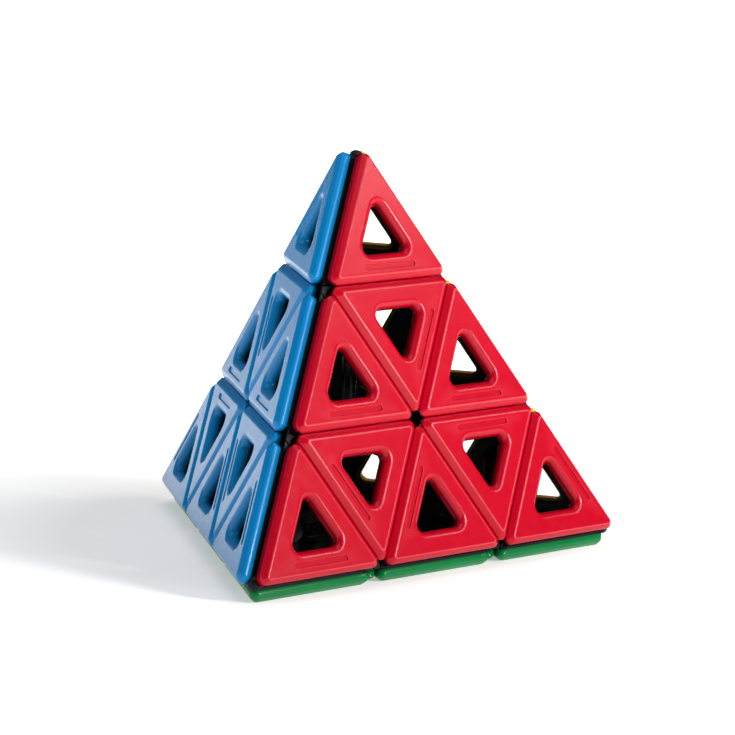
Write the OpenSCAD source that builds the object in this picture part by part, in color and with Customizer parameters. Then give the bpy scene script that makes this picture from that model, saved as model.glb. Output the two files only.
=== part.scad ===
// Pyramid twisty puzzle: a hollow tetrahedron of 36 windowed tiles on 14 turning pieces.
// +Z is up. The origin is the middle of the footprint's box, in the plane the puzzle stands on.

/* [Tiles] */
// Pitch of the triangular tiles, from line to line
pitch = 33; // [28:0.5:45]
// Half of the gap between two tiles of one face, where a cut runs
cut_gap = 0.15; // [0.1:0.05:0.3]
// Distance of a tile's outer side from the line where two faces meet
outer_gap = 0.3; // [0.2:0.05:0.5]
// Height of the coloured surface over the plane where neighbouring faces meet
face_rise = 3.1; // [2.8:0.1:4]
// Thickness of a coloured cover
cover_t = 2.55; // [2:0.05:2.7]
// How far a cover's rounded edge drops from the flat top
bevel_d = 1.25; // [0.8:0.05:1.4]
// Distance of the flat top from the middle of a gap along a cut
cut_flat_inset = 1.75; // [1.4:0.05:2]
// Distance of the flat top from the line where two faces meet
outer_flat_inset = 1.5; // [1.2:0.05:1.8]
// Radius of a cover's corners, seen from outside
corner_r = 1.4; // [1.3:0.1:1.8]
// Radius of the flat top's corners
flat_corner_r = 0.3; // [0.2:0.1:0.6]

/* [Windows] */
// Distance from a tile's side to the lip of its window
lip_inset = 4.1; // [3.5:0.1:5]
// Radius of the lip's corners
lip_corner_r = 3; // [2:0.1:4]
// Radius that rounds the lip into the window
lip_r = 1.65; // [1:0.05:2]
// Radius of the window's corners
window_corner_r = 1.3; // [0.8:0.1:2]
// How far the black frame stands back from the cover's window
setback = 0.8; // [0.4:0.1:1]

/* [Blank label slot] */
// Length of the slot
slot_l = 13.9; // [8:0.1:16]
// Width of the slot
slot_w = 1.1; // [0.6:0.05:1.3]
// Depth of the slot
slot_d = 0.3; // [0.1:0.05:0.6]
// Distance from the tile's side to the slot's middle
slot_inset = 3; // [2.6:0.1:3.3]

/* [Frames] */
// Thickness of the black frames
frame_t = 0.8; // [0.7:0.05:1.2]
// Depth of the spine that joins two frames along an edge of the pyramid
spine_d = 3; // [2:0.1:4]
// Radius of the bump at each corner of the pyramid
bump_r = 1.6; // [1.2:0.1:1.8]
// Distance of the bump's middle from the point where three faces meet
bump_in = 2.4; // [2:0.1:2.6]
// Width of the spokes that carry the hubs
spoke_w = 2.6; // [2:0.1:4]
// Thickness of the spokes
spoke_t = 1.5; // [1.2:0.1:2]
// How far a centre's spokes start above the low end of its hub
spoke_up = 0.4; // [0:0.1:1]

/* [Spindles] */
// Radius of a spindle
spindle_r = 1.5; // [1.2:0.1:2]
// Radial running clearance of a hub on its spindle
running = 0.05; // [0.02:0.01:0.1]
// Free space along a spindle between two parts that turn against each other
end_play = 0.1; // [0.05:0.05:0.15]
// Radius of the ball in the middle
core_r = 4; // [3.8:0.1:5]
// Distance of a spindle's inner end from the middle
spindle_low = 2.3; // [2.2:0.1:3]
// Radius of the hubs and screw heads
hub_r = 2.9; // [2.6:0.1:3.6]
// Height of a centre's hub
centre_hub_t = 3.4; // [2.6:0.1:4]
// Height of a tip's hub
tip_hub_t = 1.6; // [1.5:0.1:2]
// Thickness of the washer between the two hubs
washer_t = 0.4; // [0.3:0.1:0.6]
// Radius of the washer
washer_r = 2.7; // [2.4:0.1:2.9]
// Thickness of the collar under a centre's hub
collar_t = 1; // [0.8:0.1:1.5]
// Radius of the collar
collar_r = 2.5; // [2.2:0.1:2.9]

/* [Spindle screws] */
// Radius of the shank
screw_r = 0.8; // [0.6:0.05:0.9]
// Length of the shank
screw_l = 5.5; // [4:0.5:6]
// Depth of the hole for the shank
screw_bore = 6; // [4.5:0.5:7]
// Thickness of the head
head_t = 1.1; // [0.9:0.1:1.4]
// Radius of the six-sided socket in the head, over its corners
drive_r = 1.3; // [1:0.1:1.6]
// Depth of the six-sided socket
drive_d = 0.7; // [0.5:0.1:0.9]

/* [Edge hooks] */
// Half length of the bar that reaches under the two neighbouring frames
hook_reach = 5.4; // [5:0.1:5.6]
// Thickness of the bar
hook_t = 1.5; // [1.2:0.1:1.8]
// Level of the bar's outer surface, below the plane where the faces meet
hook_drop = 3.9; // [3.7:0.1:4.1]
// Distance of the bar's ends from the middle of the face
bar_near = 6.2; // [6:0.1:6.6]
// Width of the bar at its ends
bar_end_w = 1.4; // [1.2:0.1:1.6]
// Distance of the bar's inner side from the middle of the face
bar_far = 9.6; // [9:0.1:10]
// Half width of the neck
neck_half_w = 1.6; // [1.2:0.1:1.8]
// Distance of the neck's point from the middle of the face
neck_near = 6.9; // [6.6:0.1:7.5]
// Distance of the neck's flat end from the middle of the face
neck_far = 11.5; // [10.5:0.1:11.8]

/* [Hidden] */
$fn = 48;
// Small distance that lets one solid run into another
eps = 0.05;
// How far a cut leans inwards over each millimetre of depth, since faces meet the cuts at 70.5 degrees
slope = 1 / (2 * sqrt(2));
// From a tile's middle to its sides, and to its corners
tile_in = pitch / (2 * sqrt(3));
tile_out = pitch / sqrt(3);
// From the middle of the pyramid to its faces, without face_rise
mid_to_face = 3 * pitch / (2 * sqrt(6));
// The middle of the pyramid, over the middle of the puzzle's footprint box
footprint_front = 3 * tile_in + face_rise * sqrt(8) / 3 - outer_flat_inset / 3;
footprint_back = (3 * mid_to_face - bump_in) * sqrt(8) / 3 + bump_r;
middle = [0, (footprint_front - footprint_back) / 2, face_rise + mid_to_face];
// Levels are measured outwards from the plane where the faces meet
bevel_low = face_rise - bevel_d;
cover_low = face_rise - cover_t;
frame_low = cover_low - frame_t;
// The cut planes, as distances from the middle along the axis of a corner. They meet the lines
// between the tiles at the level where the bevels end
layer_cut = (mid_to_face + bevel_low) / 3;
tip_cut = layer_cut + tile_out * 1.5 * sqrt(8) / 3;
edge_mid = 3 * pitch / (2 * sqrt(2));
window_inset = lip_inset + lip_r;
// Points on each rounded corner, and steps on each rounded edge
corner_steps = 3;
edge_steps = 2;
big = 6 * pitch;

// Hubs and screws, as distances from the middle
centre_hub_top = tip_cut - washer_t / 2 - end_play;
centre_hub_low = centre_hub_top - centre_hub_t;
tip_hub_low = tip_cut + washer_t / 2 + end_play;
tip_hub_top = tip_hub_low + tip_hub_t;
head_low = tip_hub_top + end_play;

CORNERS = ["top", "left", "right", "back"];
CORNER_POLAR = [0, acos(-1 / 3), acos(-1 / 3), acos(-1 / 3)];
CORNER_AZIMUTH = [-90, 210, 330, 90];

FACES = ["red", "blue", "yellow", "green"];
FACE_COLOUR = ["#d21e37", "#1e78be", "#f0c31e", "#058241"];
FRAME_COLOUR = "#121114";
STEEL_COLOUR = "#3c3c40";
FACE_TURN = [[acos(1 / 3), 0, 0], [acos(1 / 3), 0, 240], [acos(1 / 3), 0, 120], [180, 0, 180]];
// Corners of each face, seen from outside: its own top, then left, then right
FACE_CORNERS = [[0, 1, 2], [0, 3, 1], [0, 2, 3], [3, 2, 1]];

EDGES = [[0, 1], [0, 2], [0, 3], [1, 2], [1, 3], [2, 3]];

// Side of each tile that carries the slot, counted from its own lowest side: tips, centres, edges
SLOT_SIDE = [
    [[0, 2, 2], [2, 0, 1], [2, 2, 1]],
    [[2, 1, 2], [1, 2, 2], [1, 2, 1]],
    [[0, 0, 0], [1, 1, 1], [1, 1, 1]],
    [[0, 0, 0], [1, 1, 1], [1, 1, 1]]
];

function edge_name(e) = str(CORNERS[e[0]], "_", CORNERS[e[1]], "_edge");
// Which of a face's three turns puts a corner tile at corner v
function turn_of(f, v) = search(v, FACE_CORNERS[f])[0];
function faces_at(v) = [for (f = [0:3]) if (len(search(v, FACE_CORNERS[f])) > 0) f];
function faces_on(e) = [for (f = [0:3]) if (len(search(e[0], FACE_CORNERS[f])) > 0
    && len(search(e[1], FACE_CORNERS[f])) > 0) f];
// An edge tile stands opposite the one corner of its face that the edge doesn't touch
function turn_opposite(f, e) = [for (k = [0:2]) if (FACE_CORNERS[f][k] != e[0]
    && FACE_CORNERS[f][k] != e[1]) k][0];

// Places children on face f: x to the right, y to the face's own top, z outwards from its plane
module on_face(f) {
    translate(middle) rotate(FACE_TURN[f]) translate([0, 0, mid_to_face]) children();
}

// Places children on the axis of corner v, with z outwards and 0 in the middle of the pyramid
module on_axis(v) {
    translate(middle) rotate([0, CORNER_POLAR[v], CORNER_AZIMUTH[v]]) children();
}

// Everything further out than h along the axis of corner v
module beyond(v, h) {
    on_axis(v) translate([-big / 2, -big / 2, h]) cube(big);
}

// Everything nearer in than h along the axis of corner v
module within(v, h) {
    on_axis(v) translate([-big / 2, -big / 2, h - big]) cube(big);
}

// The pyramid with its faces at a level
module pyramid(level) {
    r = 3 * (mid_to_face + level);
    s = sqrt(8) / 3 * r;
    translate(middle) polyhedron(
        [[0, 0, r], [s * cos(210), s * sin(210), -r / 3], [s * cos(330), s * sin(330), -r / 3], [0, s, -r / 3]],
        [[0, 2, 1], [0, 1, 3], [0, 3, 2], [1, 2, 3]]
    );
}

// One rounded corner of a tile, between side j and the next, with the sides moved in by ins[j]
function corner(ins, r, j) =
    let (
        a = tile_in - ins[j] - r,
        b = tile_in - ins[(j + 1) % 3] - r,
        t = -90 + 120 * j,
        mid = (4 * a + 2 * b) / 3 * [cos(t), sin(t)] + (2 * a + 4 * b) / 3 * [cos(t + 120), sin(t + 120)]
    )
    [for (k = [0:corner_steps]) let (w = t + 120 * k / corner_steps) mid + r * [cos(w), sin(w)]];

function outline(ins, r) = [for (j = [0:2]) each corner(ins, r, j)];
function even(inset) = [inset, inset, inset];
// How far each side stands in at a level: 1 leans inwards along a cut, -1 leans outwards along
// a cut, and 0 stands upright on the pyramid's own edge
function side_insets(cuts, level) =
    [for (c = cuts) (c == 0 ? outer_gap : cut_gap) + c * slope * (bevel_low - level)];
function flat_insets(cuts) = [for (c = cuts) c == 0 ? outer_flat_inset : cut_flat_inset];
// Corners between sides that lean outwards draw back, to stay clear of the third cut
function corner_at(cuts, level) = corner_r + (min(cuts) < 0 ? 3 * slope * (bevel_low - level) : 0);
function mix(a, b, t) = a + (b - a) * t;
function ring(ins, r, level) = [for (q = outline(ins, r)) [q[0], q[1], level]];

// A ring-shaped solid lofted through closed outlines, the last of which joins the first
module loft(rings) {
    m = len(rings[0]);
    n = len(rings);
    polyhedron(
        [for (r = rings) each r],
        [for (k = [0:n - 1], i = [0:m - 1]) let (j = (i + 1) % m, l = (k + 1) % n)
            [k * m + i, l * m + i, l * m + j, k * m + j]]
    );
}

// A coloured cover, pointing up. cuts describes its sides: lowest, right, left
module cover(cuts, slot_side) {
    outer = [for (k = [0:edge_steps]) let (w = 90 * k / edge_steps)
        ring(mix(flat_insets(cuts), side_insets(cuts, bevel_low), cos(w)),
            mix(flat_corner_r, corner_r, cos(w)),
            bevel_low + bevel_d * sin(w))];
    lip = [for (k = [0:edge_steps]) let (w = 90 * k / edge_steps)
        ring(even(lip_inset + lip_r * sin(w)),
            mix(lip_corner_r, window_corner_r, sin(w)),
            face_rise - lip_r * (1 - cos(w)))];
    difference() {
        loft(concat(
            [ring(side_insets(cuts, cover_low), corner_at(cuts, cover_low), cover_low)],
            outer,
            lip,
            [ring(even(window_inset), window_corner_r, cover_low)]
        ));
        rotate(120 * slot_side) translate([0, slot_inset - tile_in, face_rise - slot_d]) slot();
    }
}

module slot() {
    linear_extrude(1) {
        square([slot_l - slot_w, slot_w], center = true);
        for (side = [-1, 1]) translate([side * (slot_l - slot_w) / 2, 0]) circle(d = slot_w, $fn = 8);
    }
}

// The black plate behind a cover
module plate(cuts) {
    hole = even(window_inset - setback);
    loft([
        ring(side_insets(cuts, frame_low), corner_at(cuts, frame_low), frame_low),
        ring(side_insets(cuts, cover_low), corner_at(cuts, cover_low), cover_low),
        ring(hole, window_corner_r + setback, cover_low),
        ring(hole, window_corner_r + setback, frame_low)
    ]);
}

// Where the three kinds of tile stand on a face, for its first turn
module tip_place() { translate([0, 2 * tile_out]) children(); }
module centre_place() { translate([0, tile_out]) rotate(180) children(); }
module edge_place() { translate([0, -tile_out]) children(); }

TIP_CUTS = [1, 0, 0];
CENTRE_CUTS = [-1, -1, -1];
EDGE_CUTS = [0, 1, 1];

// The solid edge of the pyramid between two corners, spine_d deep
module spine(e) {
    intersection() {
        pyramid(0);
        beyond_edge(e, edge_mid - spine_d);
    }
}

// Direction from the middle of the pyramid to corner v
function axis_of(v) = [sin(CORNER_POLAR[v]) * cos(CORNER_AZIMUTH[v]),
    sin(CORNER_POLAR[v]) * sin(CORNER_AZIMUTH[v]), cos(CORNER_POLAR[v])];

// Everything further out than h on the line from the middle of the pyramid to the middle of an edge
module beyond_edge(e, h) {
    d = axis_of(e[0]) + axis_of(e[1]);
    translate(middle) rotate([0, acos(d[2] / norm(d)), atan2(d[1], d[0])])
        translate([-big / 2, -big / 2, h]) cube(big);
}

// Three spokes and a hub across the pyramid at a corner, bored for the spindle
module spider(v, low, hub_low, hub_top) {
    difference() {
        union() {
            intersection() {
                on_axis(v) for (k = [0:2]) rotate(120 * k)
                    translate([0, -spoke_w / 2, low]) cube([pitch / 2, spoke_w, spoke_t]);
                pyramid(cover_low - eps);
            }
            on_axis(v) translate([0, 0, hub_low]) cylinder(r = hub_r, h = hub_top - hub_low);
        }
        on_axis(v) translate([0, 0, hub_low - 1])
            cylinder(r = spindle_r + running, h = hub_top - hub_low + 2);
    }
}

module tip_frame(v) {
    color(FRAME_COLOUR) union() {
        for (f = faces_at(v)) on_face(f) rotate(120 * turn_of(f, v)) tip_place() plate(TIP_CUTS);
        intersection() {
            union() for (e = EDGES) if (e[0] == v || e[1] == v) spine(e);
            beyond(v, tip_cut + cut_gap);
            within(v, 3 * mid_to_face - bump_in);
        }
        spider(v, tip_hub_low, tip_hub_low, tip_hub_top);
        intersection() {
            on_axis(v) translate([0, 0, 3 * mid_to_face - bump_in]) sphere(bump_r);
            pyramid(cover_low - eps);
        }
    }
}

module centre_frame(v) {
    color(FRAME_COLOUR) union() {
        for (f = faces_at(v)) on_face(f) rotate(120 * turn_of(f, v)) centre_place() plate(CENTRE_CUTS);
        for (e = EDGES) if (e[0] == v || e[1] == v) intersection() {
            spine(e);
            within(v, tip_cut - cut_gap);
            within(e[0] == v ? e[1] : e[0], layer_cut - cut_gap);
        }
        spider(v, centre_hub_low + spoke_up, centre_hub_low, centre_hub_top);
    }
}

module edge_frame(e) {
    color(FRAME_COLOUR) union() {
        for (f = faces_on(e)) on_face(f) rotate(120 * turn_opposite(f, e)) edge_place() plate(EDGE_CUTS);
        intersection() {
            spine(e);
            beyond(e[0], layer_cut + cut_gap);
            beyond(e[1], layer_cut + cut_gap);
        }
    }
}

// The neck and bar that hold an edge piece under its neighbours, on each of its two faces
module edge_hooks(e) {
    neck = [[0, -neck_near], [-neck_half_w, -bar_far], [-neck_half_w, -neck_far],
        [neck_half_w, -neck_far], [neck_half_w, -bar_far]];
    bar = [[-hook_reach, -bar_near], [-hook_reach, -bar_near - bar_end_w], [-neck_half_w, -bar_far],
        [neck_half_w, -bar_far], [hook_reach, -bar_near - bar_end_w], [hook_reach, -bar_near]];
    color(FRAME_COLOUR) for (f = faces_on(e)) on_face(f) rotate(120 * turn_opposite(f, e)) {
        translate([0, 0, -hook_drop - hook_t]) linear_extrude(hook_t) polygon(bar);
        translate([0, 0, -hook_drop - eps]) linear_extrude(frame_low + hook_drop + eps) polygon(neck);
    }
}

module tip_cover(v, f) {
    k = turn_of(f, v);
    color(FACE_COLOUR[f]) on_face(f) rotate(120 * k) tip_place() cover(TIP_CUTS, SLOT_SIDE[f][0][k]);
}

module centre_cover(v, f) {
    k = turn_of(f, v);
    color(FACE_COLOUR[f]) on_face(f) rotate(120 * k) centre_place() cover(CENTRE_CUTS, SLOT_SIDE[f][1][k]);
}

module edge_cover(e, f) {
    k = turn_opposite(f, e);
    color(FACE_COLOUR[f]) on_face(f) rotate(120 * k) edge_place() cover(EDGE_CUTS, SLOT_SIDE[f][2][k]);
}

module core_hub() {
    color(FRAME_COLOUR) difference() {
        translate(middle) sphere(core_r);
        for (v = [0:3]) on_axis(v) translate([0, 0, spindle_low]) cylinder(r = spindle_r, h = core_r);
    }
}

module spindles() {
    color(STEEL_COLOUR) for (v = [0:3]) on_axis(v) difference() {
        union() {
            translate([0, 0, spindle_low]) cylinder(r = spindle_r, h = head_low - spindle_low);
            translate([0, 0, centre_hub_low - end_play - collar_t]) cylinder(r = collar_r, h = collar_t);
        }
        translate([0, 0, head_low - screw_bore]) cylinder(r = screw_r, h = screw_bore + 1);
    }
}

module spindle_washers() {
    color(STEEL_COLOUR) for (v = [0:3]) on_axis(v) translate([0, 0, tip_cut - washer_t / 2]) difference() {
        cylinder(r = washer_r, h = washer_t);
        translate([0, 0, -1]) cylinder(r = spindle_r + running, h = washer_t + 2);
    }
}

module spindle_screws() {
    color(STEEL_COLOUR) for (v = [0:3]) on_axis(v) translate([0, 0, head_low]) difference() {
        union() {
            cylinder(r = hub_r, h = head_t);
            translate([0, 0, -screw_l]) cylinder(r = screw_r, h = screw_l + eps);
        }
        translate([0, 0, head_t - drive_d]) cylinder(r = drive_r, h = head_t, $fn = 6);
    }
}

core_hub();
spindles();
spindle_washers();
spindle_screws();
for (v = [0:3]) tip_frame(v);
for (v = [0:3]) centre_frame(v);
for (e = EDGES) edge_frame(e);
for (e = EDGES) edge_hooks(e);
for (v = [0:3], f = faces_at(v))
    tip_cover(v, f);
for (v = [0:3], f = faces_at(v))
    centre_cover(v, f);
for (e = EDGES, f = faces_on(e))
    edge_cover(e, f);
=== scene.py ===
"""The looks of the pyramid twisty puzzle: covers, black frames, blackened steel, camera and light."""
import math

import bmesh
import bpy
from mathutils import Matrix, Vector


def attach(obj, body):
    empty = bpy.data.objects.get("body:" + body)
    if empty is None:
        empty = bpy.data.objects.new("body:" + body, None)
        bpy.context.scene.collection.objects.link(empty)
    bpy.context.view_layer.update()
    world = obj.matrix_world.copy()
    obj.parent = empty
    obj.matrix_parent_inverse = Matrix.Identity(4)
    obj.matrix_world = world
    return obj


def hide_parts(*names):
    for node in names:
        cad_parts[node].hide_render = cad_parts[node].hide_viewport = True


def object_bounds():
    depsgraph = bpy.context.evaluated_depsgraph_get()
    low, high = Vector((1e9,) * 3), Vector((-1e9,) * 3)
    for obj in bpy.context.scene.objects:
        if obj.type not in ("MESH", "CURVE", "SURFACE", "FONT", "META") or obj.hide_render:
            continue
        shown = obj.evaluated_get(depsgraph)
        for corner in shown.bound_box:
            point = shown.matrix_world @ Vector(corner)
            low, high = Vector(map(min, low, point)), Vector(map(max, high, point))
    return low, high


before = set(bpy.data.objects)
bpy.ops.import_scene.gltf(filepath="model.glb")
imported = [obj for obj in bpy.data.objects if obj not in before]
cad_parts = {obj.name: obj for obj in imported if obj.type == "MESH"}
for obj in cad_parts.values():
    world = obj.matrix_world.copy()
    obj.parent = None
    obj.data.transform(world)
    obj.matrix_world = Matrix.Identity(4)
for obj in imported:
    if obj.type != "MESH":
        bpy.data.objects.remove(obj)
cad_low, cad_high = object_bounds()

# Sizes in millimetres, the same as the CAD model's, but for the gap to the cuts, which is finer
MM = 0.001
PITCH = 33
CUT_GAP = 0.07
OUTER_GAP = 0.3
FACE_RISE = 3.1
COVER_T = 2.55
BEVEL_D = 1.25
CUT_FLAT_INSET = 1.75
OUTER_FLAT_INSET = 1.5
CORNER_R = 1.4
FLAT_CORNER_R = 0.3
LIP_INSET = 4.1
LIP_CORNER_R = 3.0
LIP_R = 1.65
WINDOW_CORNER_R = 1.3
SLOT_L = 13.9
SLOT_W = 1.1
SLOT_D = 0.3
SLOT_INSET = 3.0
BUMP_R = 1.6
BUMP_IN = 2.4
SLOPE = 1 / (2 * math.sqrt(2))
TILE_IN = PITCH / (2 * math.sqrt(3))
TILE_OUT = PITCH / math.sqrt(3)
MID_TO_FACE = 3 * PITCH / (2 * math.sqrt(6))
BEVEL_LOW = FACE_RISE - BEVEL_D
COVER_LOW = FACE_RISE - COVER_T
WINDOW_INSET = LIP_INSET + LIP_R

# The moulded edge: a small round outside, a slope in degrees and a tighter turn onto the flat
EDGE_OUTER_R = 0.65
EDGE_INNER_R = 0.75
EDGE_SLOPE = 43
EDGE_WIDTH = 1.4
# Where a straight side ends, just short of a round, and the slot's rounded rim
SIDE_END = 0.05
SLOT_RIM = 0.12
RIM_MIDDLE = 0.3 * SLOT_RIM

# Steps on each round
EDGE_OUTER_STEPS = 5
EDGE_INNER_STEPS = 7
CORNER_STEPS = 12
LIP_STEPS = 10
SLOT_STEPS = 8

# Painted light stored on the mesh: above 0 a painted highlight, a lighter colour broken up by scuffs, on
# the edge fillets and slot rims; below 0 painted shade down the windows
LIP_SHADE = -0.45
WINDOW_SHADE = -0.5
DEEP_SHADE = -1.0
RIM_WEAR_SHEEN = 0.2
RIM_INNER_WEAR_SHEEN = 0.3
# A face whose normal points up at least this much is flat
UPRIGHT = 0.9999

# The middle of the pyramid, on its axis, which passes through the top corner
FOOTPRINT_FRONT = 3 * TILE_IN + FACE_RISE * math.sqrt(8) / 3 - OUTER_FLAT_INSET / 3
FOOTPRINT_BACK = (3 * MID_TO_FACE - BUMP_IN) * math.sqrt(8) / 3 + BUMP_R
MIDDLE = Vector((0, (FOOTPRINT_FRONT - FOOTPRINT_BACK) / 2, FACE_RISE + MID_TO_FACE))

CORNERS = ["top", "left", "right", "back"]
FACES = ["red", "blue", "yellow", "green"]
# Each face's lean and turn in degrees, and its three corners in order
LEAN = math.degrees(math.acos(1 / 3))
FACE_TURN = [(LEAN, 0), (LEAN, 240), (LEAN, 120), (180, 180)]
FACE_CORNERS = [(0, 1, 2), (0, 3, 1), (0, 2, 3), (3, 2, 1)]
# How each kind of tile's three sides lean
TIP_CUTS, CENTRE_CUTS, EDGE_CUTS = (1, 0, 0), (-1, -1, -1), (0, 1, 1)
# Side of each tile that carries the slot, for each face: tips, centres, edges
SLOT_SIDE = [
    [(0, 2, 2), (2, 0, 1), (2, 2, 1)],
    [(2, 1, 2), (1, 2, 2), (1, 2, 1)],
    [(0, 0, 0), (1, 1, 1), (1, 1, 1)],
    [(0, 0, 0), (1, 1, 1), (1, 1, 1)],
]


# ---------- cover meshes ----------

def turn(degrees, axis):
    return Matrix.Rotation(math.radians(degrees), 4, axis)


def ring(insets, radius, level):
    """A triangle with rounded corners, its sides moved in by insets, at a level."""
    points = []
    for j in range(3):
        a = TILE_IN - insets[j] - radius
        b = TILE_IN - insets[(j + 1) % 3] - radius
        start = math.radians(-90 + 120 * j)
        end = start + math.radians(120)
        mid_x = (4 * a + 2 * b) / 3 * math.cos(start) + (2 * a + 4 * b) / 3 * math.cos(end)
        mid_y = (4 * a + 2 * b) / 3 * math.sin(start) + (2 * a + 4 * b) / 3 * math.sin(end)
        for k in range(CORNER_STEPS + 1):
            w = start + (end - start) * k / CORNER_STEPS
            points.append(Vector((mid_x + radius * math.cos(w), mid_y + radius * math.sin(w), level)))
    return points


def side_insets(cuts, level):
    """How far each side stands in: 1 leans inwards and -1 outwards along a cut, 0 stands upright."""
    return [(OUTER_GAP if c == 0 else CUT_GAP) + c * SLOPE * (BEVEL_LOW - level) for c in cuts]


def corner_at(cuts, level):
    """The corners' radius, which grows with depth where the sides lean outwards."""
    return CORNER_R + (3 * SLOPE * (BEVEL_LOW - level) if min(cuts) < 0 else 0)


def edge_profile():
    """The moulded edge's points: how far across and up it they are, from 0 to 1, and their painted
    highlight, which peaks on the inner fillet.
    """
    points = []
    for k in range(EDGE_OUTER_STEPS + 1):
        w = math.radians(90 - (90 - EDGE_SLOPE) * k / EDGE_OUTER_STEPS)
        across = EDGE_OUTER_R * (1 - math.sin(w)) / EDGE_WIDTH
        up = EDGE_OUTER_R * math.cos(w) / BEVEL_D
        points.append((across, up, 0.0))
    # The inner fillet carries a painted highlight, strongest halfway round it
    for k in range(EDGE_INNER_STEPS + 1):
        w = math.radians(EDGE_SLOPE * (1 - k / EDGE_INNER_STEPS))
        across = 1 - EDGE_INNER_R * math.sin(w) / EDGE_WIDTH
        up = 1 - EDGE_INNER_R * (1 - math.cos(w)) / BEVEL_D
        points.append((across, up, math.sin(math.pi * k / EDGE_INNER_STEPS) ** 2))
    return points


def slot_ring(side, level, shrink=0.0):
    """The outline of the blank label slot, beside one side of the tile."""
    r = SLOT_W / 2 - shrink
    half = (SLOT_L - SLOT_W) / 2
    place = turn(120 * side, "Z") @ Matrix.Translation((0, SLOT_INSET - TILE_IN, level))
    points = []
    for end, start in ((half, -90), (-half, 90)):
        for k in range(SLOT_STEPS + 1):
            w = math.radians(start + 180 * k / SLOT_STEPS)
            points.append(place @ Vector((end + r * math.cos(w), r * math.sin(w), 0)))
    return points


def add_ring(bm, points, wear, layer):
    """Vertices at the points, all with one value of painted highlight (above 0) or painted shade (below
    0).
    """
    verts = [bm.verts.new(p) for p in points]
    for v in verts:
        v[layer] = wear
    return verts


def bridge(bm, low, high):
    """A band of faces between two rings."""
    n = len(low)
    for i in range(n):
        bm.faces.new((low[i], low[(i + 1) % n], high[(i + 1) % n], high[i]))


def loop_edges(bm, verts):
    """The edges round a ring, made where they're missing."""
    n = len(verts)
    found = []
    for i in range(n):
        pair = (verts[i], verts[(i + 1) % n])
        found.append(bm.edges.get(pair) or bm.edges.new(pair))
    return found


def cover_mesh(cuts, slot_side):
    """A moulded cover, pointing up: sloping edge, flat ring with a slot, lip rolling into the window."""
    bm = bmesh.new()
    wear = bm.verts.layers.float.new("wear")
    flats = [OUTER_FLAT_INSET if c == 0 else CUT_FLAT_INSET for c in cuts]
    sides = side_insets(cuts, BEVEL_LOW)
    rings = []
    for level in (COVER_LOW, BEVEL_LOW - SIDE_END):
        points = ring(side_insets(cuts, level), corner_at(cuts, level), level)
        rings.append(add_ring(bm, points, 0.0, wear))
    for across, up, worn_sheen in edge_profile():
        insets = [side + (flat - side) * across for side, flat in zip(sides, flats)]
        radius = CORNER_R + (FLAT_CORNER_R - CORNER_R) * across
        rings.append(add_ring(bm, ring(insets, radius, BEVEL_LOW + BEVEL_D * up), worn_sheen, wear))
    lip = []
    for k in range(LIP_STEPS + 1):
        w = math.radians(90 * k / LIP_STEPS)
        inset = LIP_INSET + LIP_R * math.sin(w)
        radius = LIP_CORNER_R + (WINDOW_CORNER_R - LIP_CORNER_R) * math.sin(w)
        level = FACE_RISE - LIP_R * (1 - math.cos(w))
        # Painted shade: the lip darkens more and more as it rolls into the window
        shade = LIP_SHADE * (k / LIP_STEPS) ** 2
        lip.append(add_ring(bm, ring([inset] * 3, radius, level), shade, wear))
    window_low = FACE_RISE - LIP_R
    # Painted shade: the window walls darker still, near black at the bottom
    for level, shade in ((window_low - SIDE_END, WINDOW_SHADE), (COVER_LOW, DEEP_SHADE)):
        lip.append(add_ring(bm, ring([WINDOW_INSET] * 3, WINDOW_CORNER_R, level), shade, wear))
    # The slot: a rounded rim with a painted highlight, straight walls and a flat floor
    slot = [
        add_ring(bm, slot_ring(slot_side, FACE_RISE, -SLOT_RIM), RIM_WEAR_SHEEN, wear),
        add_ring(bm, slot_ring(slot_side, FACE_RISE - RIM_MIDDLE, -RIM_MIDDLE), RIM_INNER_WEAR_SHEEN, wear),
        add_ring(bm, slot_ring(slot_side, FACE_RISE - SLOT_RIM), 0.0, wear),
        add_ring(bm, slot_ring(slot_side, FACE_RISE - SLOT_D), 0.0, wear),
    ]
    for rows in (rings, lip, slot):
        for low, high in zip(rows, rows[1:]):
            bridge(bm, low, high)
    for f in bm.faces:
        f.smooth = True
    # The flat parts keep their own straight normals
    bridge(bm, lip[-1], rings[0])
    bm.faces.new(slot[-1])
    border = loop_edges(bm, rings[-1]) + loop_edges(bm, lip[0]) + loop_edges(bm, slot[0])
    bmesh.ops.triangle_fill(bm, use_beauty=True, edges=border, normal=(0, 0, 1))
    bmesh.ops.recalc_face_normals(bm, faces=bm.faces)
    for f in bm.faces:
        if f.normal.z > UPRIGHT:
            f.smooth = False
    mesh = bpy.data.meshes.new("cover")
    bm.to_mesh(mesh)
    bm.free()
    return mesh


def face_matrix(f):
    """Takes a point from face f's own plane, in millimetres, to its place, in metres."""
    lean, azimuth = FACE_TURN[f]
    return (
        Matrix.Scale(MM, 4)
        @ Matrix.Translation(MIDDLE)
        @ turn(azimuth, "Z")
        @ turn(lean, "X")
        @ Matrix.Translation((0, 0, MID_TO_FACE))
    )


def add_cover(name, body, f, k, kind):
    """One cover of face f, in its k-th turn; it rides on a body and replaces the CAD node of that name."""
    cuts, place = KINDS[kind]
    mesh = cover_mesh(cuts, SLOT_SIDE[f][kind][k])
    mesh.transform(face_matrix(f) @ turn(120 * k, "Z") @ place)
    cover = bpy.data.objects.new("cover_" + name, mesh)
    bpy.context.scene.collection.objects.link(cover)
    mesh.materials.append(PLASTICS[FACES[f]])
    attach(cover, body)
    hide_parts(name)


# ---------- materials ----------

ROUGH_SPREAD = 0.02


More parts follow.
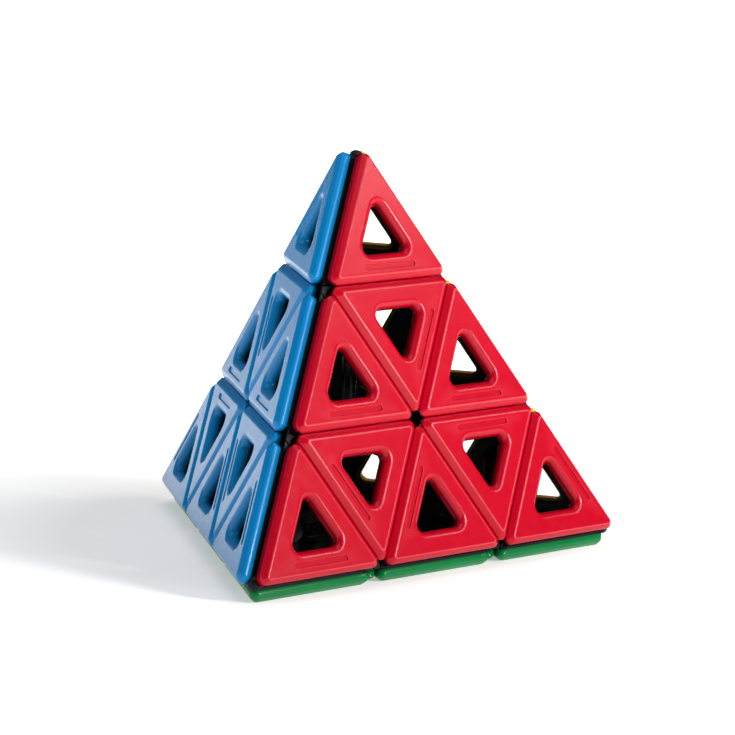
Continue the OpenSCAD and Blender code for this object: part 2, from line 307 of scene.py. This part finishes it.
def node_maker(material):
    """The material's node tree and shader, and a function that adds a node with settings and inputs."""
    material.use_nodes = True
    tree = material.node_tree
    shader = tree.nodes["Principled BSDF"]

    def make(kind, settings=None, **inputs):
        n = tree.nodes.new(kind)
        for key, value in (settings or {}).items():
            setattr(n, key, value)
        for key, value in inputs.items():
            socket = n.inputs[key.replace("_", " ")]
            if isinstance(value, bpy.types.NodeSocket):
                tree.links.new(value, socket)
            else:
                socket.default_value = value
        return n

    return tree, shader, make


def ramp(n, stops):
    """Sets a colour ramp's stops, each a place and a colour."""
    elements = n.color_ramp.elements
    while len(elements) > 1:
        elements.remove(elements[-1])
    elements[0].position, elements[0].color = stops[0]
    for place, colour in stops[1:]:
        elements.new(place).color = colour


def grey(v):
    return (v, v, v, 1)


def map_range(make, value, low, high, to_low=0.0, to_high=1.0):
    """Maps low..high of a value to another range, and gives the result's socket."""
    node = make("ShaderNodeMapRange", Value=value)
    node.inputs["From Min"].default_value = low
    node.inputs["From Max"].default_value = high
    node.inputs["To Min"].default_value = to_low
    node.inputs["To Max"].default_value = to_high
    return node.outputs["Result"]


def moulded_plastic(name, base, deep, worn_sheen, rough, specular, grain):
    """Moulded plastic: soft mottling and fine spark-eroded grain, with a painted highlight on its edges,
    broken up by scuffs, and painted shade down in its windows.
    """
    material = bpy.data.materials.new(name)
    tree, shader, make = node_maker(material)
    place = make("ShaderNodeTexCoord").outputs["Object"]
    mottle = make("ShaderNodeTexNoise", Vector=place, Scale=90.0, Detail=3.0, Roughness=0.6)
    fine = make("ShaderNodeTexNoise", Vector=place, Scale=3200.0, Detail=2.0, Roughness=0.5)
    coarse = make("ShaderNodeTexNoise", Vector=place, Scale=500.0, Detail=1.0, Roughness=0.4)
    scuffs = make("ShaderNodeTexNoise", Vector=place, Scale=260.0, Detail=6.0, Roughness=0.75)
    wear = make("ShaderNodeAttribute", {"attribute_name": "wear"}).outputs["Fac"]

    tone = make("ShaderNodeValToRGB", Fac=mottle.outputs["Fac"])
    ramp(tone, [(0.3, deep), (0.7, base)])
    # Painted highlight: the lighter colour goes on the edges, broken up by scuffs
    edge = make("ShaderNodeMath", {"operation": "MULTIPLY", "use_clamp": True}, Value=wear)
    tree.links.new(scuffs.outputs["Fac"], edge.inputs[1])
    worn_sheen_tone = make("ShaderNodeMix", {"data_type": "RGBA"})
    tree.links.new(edge.outputs[0], worn_sheen_tone.inputs["Factor"])
    tree.links.new(tone.outputs["Color"], worn_sheen_tone.inputs["A"])
    worn_sheen_tone.inputs["B"].default_value = worn_sheen
    # Painted shade: down in the windows the colour is darkened, to a tenth at the bottom
    shade = map_range(make, wear, DEEP_SHADE, 0.0, 0.1)
    shaded = make("ShaderNodeVectorMath", {"operation": "SCALE"})
    tree.links.new(worn_sheen_tone.outputs["Result"], shaded.inputs["Vector"])
    tree.links.new(shade, shaded.inputs["Scale"])
    tree.links.new(shaded.outputs["Vector"], shader.inputs["Base Color"])

    gloss = map_range(
        make, coarse.outputs["Fac"], 0.3, 0.7, rough - ROUGH_SPREAD, rough + ROUGH_SPREAD
    )
    tree.links.new(gloss, shader.inputs["Roughness"])

    relief = make("ShaderNodeBump", Strength=grain, Distance=0.00006)
    tree.links.new(fine.outputs["Fac"], relief.inputs["Height"])
    waves = make("ShaderNodeBump", Strength=grain * 0.3, Distance=0.00001)
    tree.links.new(coarse.outputs["Fac"], waves.inputs["Height"])
    tree.links.new(relief.outputs["Normal"], waves.inputs["Normal"])
    tree.links.new(waves.outputs["Normal"], shader.inputs["Normal"])
    shader.inputs["IOR"].default_value = 1.5
    shader.inputs["Specular IOR Level"].default_value = specular
    return material


def turned_steel(name):
    """Blackened steel with fine turning marks."""
    material = bpy.data.materials.new(name)
    tree, shader, make = node_maker(material)
    place = make("ShaderNodeTexCoord").outputs["Object"]
    marks = make("ShaderNodeTexNoise", Vector=place, Scale=3200.0, Detail=3.0, Roughness=0.7)
    stain = make("ShaderNodeTexNoise", Vector=place, Scale=400.0, Detail=4.0, Roughness=0.6)
    tone = make("ShaderNodeValToRGB", Fac=stain.outputs["Fac"])
    ramp(tone, [(0.3, (0.035, 0.035, 0.04, 1)), (0.7, (0.07, 0.07, 0.07, 1))])
    tree.links.new(tone.outputs["Color"], shader.inputs["Base Color"])
    gloss = map_range(make, marks.outputs["Fac"], 0.0, 1.0, 0.22, 0.42)
    tree.links.new(gloss, shader.inputs["Roughness"])
    relief = make("ShaderNodeBump", Strength=0.25, Distance=0.00003)
    tree.links.new(marks.outputs["Fac"], relief.inputs["Height"])
    tree.links.new(relief.outputs["Normal"], shader.inputs["Normal"])
    shader.inputs["Metallic"].default_value = 1.0
    return material


# Each plastic's base and deeper colours, and the lighter colour of its painted edge highlight
PLASTIC_TONES = {
    "red": [(0.50, 0.0, 0.015, 1), (0.47, 0.0, 0.013, 1), (0.68, 0.09, 0.11, 1)],
    "blue": [(0.0, 0.21, 0.52, 1), (0.0, 0.19, 0.48, 1), (0.03, 0.29, 0.62, 1)],
    "yellow": [(0.85, 0.53, 0.01, 1), (0.80, 0.48, 0.008, 1), (0.92, 0.66, 0.08, 1)],
    "green": [(0.003, 0.20, 0.05, 1), (0.002, 0.17, 0.042, 1), (0.02, 0.32, 0.10, 1)],
}
PLASTICS = {
    colour: moulded_plastic(colour + "_plastic", *tones, rough=0.23, specular=0.25, grain=0.3)
    for colour, tones in PLASTIC_TONES.items()
}
BLACK_TONES = [(0.0045, 0.004, 0.0045, 1), (0.003, 0.003, 0.0035, 1), grey(0.02)]
BLACK = moulded_plastic("black_plastic", *BLACK_TONES, rough=0.38, specular=0.18, grain=0.3)
STEEL = turned_steel("turned_steel")

# ---------- covers ----------

# Each kind of tile: its cuts, and its place in a third of a face
KINDS = [
    (TIP_CUTS, Matrix.Translation((0, 2 * TILE_OUT, 0))),
    (CENTRE_CUTS, Matrix.Translation((0, TILE_OUT, 0)) @ turn(180, "Z")),
    (EDGE_CUTS, Matrix.Translation((0, -TILE_OUT, 0))),
]

for f, colour in enumerate(FACES):
    for k, v in enumerate(FACE_CORNERS[f]):
        add_cover(f"{CORNERS[v]}_tip_{colour}", f"{CORNERS[v]}_tip", f, k, 0)
        add_cover(f"{CORNERS[v]}_centre_{colour}", f"{CORNERS[v]}_centre", f, k, 1)
        a, b = sorted(set(FACE_CORNERS[f]) - {v})
        edge = f"{CORNERS[a]}_{CORNERS[b]}_edge"
        add_cover(f"{edge}_{colour}", edge, f, k, 2)

# ---------- frames and inner parts: the CAD nodes with softened edges ----------

# In metres, and the angle in degrees from which an edge is softened
WELD_GAP = 0.00001
STEEL_SOFTENING = 0.00012
PLASTIC_SOFTENING = 0.00018
SOFTENED_ANGLE = 42

for name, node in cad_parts.items():
    steel = name.startswith("spindle")
    if not steel and not name.endswith(("_frame", "_hooks", "core_hub")):
        continue
    for index in range(len(node.material_slots)):
        node.material_slots[index].material = STEEL if steel else BLACK
    weld = node.modifiers.new("weld", "WELD")
    weld.merge_threshold = WELD_GAP
    soften = node.modifiers.new("soften", "BEVEL")
    soften.width = STEEL_SOFTENING if steel else PLASTIC_SOFTENING
    soften.segments = 2
    soften.limit_method = "ANGLE"
    soften.angle_limit = math.radians(SOFTENED_ANGLE)
    even = node.modifiers.new("even_normals", "WEIGHTED_NORMAL")
    even.keep_sharp = False

# ---------- floor ----------

FLOOR_SIZE = 6
# The floor's own glow, a painted light: the distances from its middle, in metres, and the strengths there
FLOOR_NEAR, FLOOR_FAR = 0.05, 0.26
GLOW_NEAR, GLOW_FAR = 0.4, 1.8


def add_floor():
    """A plain pale floor that glows on its own as painted light: dimmer near the object, a painted soft
    shadow round it, and brighter further out, standing in for a lit studio sweep.
    """
    bm = bmesh.new()
    bmesh.ops.create_grid(bm, x_segments=24, y_segments=24, size=FLOOR_SIZE)
    mesh = bpy.data.meshes.new("floor")
    bm.to_mesh(mesh)
    bm.free()
    floor = bpy.data.objects.new("floor", mesh)
    floor.location = (0, 0, cad_low.z)
    bpy.context.scene.collection.objects.link(floor)
    material = bpy.data.materials.new("pale_glowing_floor")
    tree, shader, make = node_maker(material)
    place = make("ShaderNodeTexCoord").outputs["Object"]
    cloud = make("ShaderNodeTexNoise", Vector=place, Scale=40.0, Detail=3.0)
    tone = make("ShaderNodeValToRGB", Fac=cloud.outputs["Fac"])
    ramp(tone, [(0.3, grey(0.88)), (0.7, grey(0.91))])
    tree.links.new(tone.outputs["Color"], shader.inputs["Base Color"])
    tree.links.new(tone.outputs["Color"], shader.inputs["Emission Color"])
    # Painted light: the floor glows, less near its middle and more further out
    distance = make("ShaderNodeVectorMath", {"operation": "LENGTH"}, Vector=place)
    glow = map_range(make, distance.outputs["Value"], FLOOR_NEAR, FLOOR_FAR, GLOW_NEAR, GLOW_FAR)
    tree.links.new(glow, shader.inputs["Emission Strength"])
    shader.inputs["Roughness"].default_value = 0.8
    shader.inputs["Specular IOR Level"].default_value = 0.1
    mesh.materials.append(material)


add_floor()

# ---------- world and lights ----------

SURROUND_COLOUR = (0.97, 0.98, 1.0, 1)
SURROUND_STRENGTH = 0.08


def add_world():
    """A dim, even surround."""
    world = bpy.data.worlds.new("studio")
    bpy.context.scene.world = world
    world.use_nodes = True
    background = world.node_tree.nodes["Background"]
    background.inputs["Color"].default_value = SURROUND_COLOUR
    background.inputs["Strength"].default_value = SURROUND_STRENGTH


def add_panel(name, direction, distance, size, power):
    """A softbox that faces the middle of the object from a direction."""
    light = bpy.data.lights.new(name, "AREA")
    light.shape = "RECTANGLE"
    light.size, light.size_y = size
    light.energy = power
    lamp = bpy.data.objects.new(name, light)
    lamp.visible_camera = False
    aim = Vector(direction).normalized()
    lamp.location = MIDDLE * MM + aim * distance
    lamp.rotation_mode = "QUATERNION"
    lamp.rotation_quaternion = aim.to_track_quat("Z", "Y")
    bpy.context.scene.collection.objects.link(lamp)


# Name, direction, distance and size in metres, power in watts
PANELS = [
    ("key_softbox", (0.48, -0.69, 0.55), 0.45, (0.26, 0.08), 0.65),
    ("front_softbox", (0.28, -0.90, 0.34), 0.45, (0.05, 0.09), 1.2),
    ("top_softbox", (0.0, 0.1, 1.0), 0.8, (0.8, 0.8), 2.0),
    ("left_softbox", (-0.93, 0.25, 0.30), 0.8, (0.5, 0.5), 1.4),
]

add_world()
for panel in PANELS:
    add_panel(*panel)

# ---------- camera ----------

# Angles in degrees; the focal length in sensor widths; the aim's height above the bottom face
AZIMUTH, ELEVATION, ROLL = -42.07, 9.85, 1.79
DISTANCE = 24.63 * PITCH * MM
SENSOR_WIDTH = 36
FOCAL_WIDTHS = 5.367347
AIM_RIGHT, AIM_UP = 0.113 * PITCH * MM, 0.082 * PITCH * MM
AIM_HEIGHT = 0.4 * math.sqrt(6) * PITCH * MM


def add_camera():
    """A long-lens camera that looks at the edge between the red and blue faces."""
    a, e, r = (math.radians(x) for x in (AZIMUTH, ELEVATION, ROLL))
    back = Vector((math.sin(a) * math.cos(e), -math.cos(a) * math.cos(e), math.sin(e)))
    right = Vector((math.cos(a), math.sin(a), 0))
    up = back.cross(right)
    target = Vector((0, MIDDLE.y * MM, FACE_RISE * MM + AIM_HEIGHT))
    rolled_right = math.cos(r) * right + math.sin(r) * up
    rolled_up = math.cos(r) * up - math.sin(r) * right
    data = bpy.data.cameras.new("camera")
    data.sensor_width = SENSOR_WIDTH
    data.lens = SENSOR_WIDTH * FOCAL_WIDTHS
    camera = bpy.data.objects.new("camera", data)
    turned = Matrix((rolled_right, rolled_up, back)).transposed().to_4x4()
    place = target + AIM_RIGHT * right + AIM_UP * up + DISTANCE * back
    camera.matrix_world = Matrix.Translation(place) @ turned
    data.clip_start, data.clip_end = 0.01, 20
    bpy.context.scene.collection.objects.link(camera)
    bpy.context.scene.camera = camera


add_camera()
bpy.context.scene.view_settings.view_transform = "Standard"
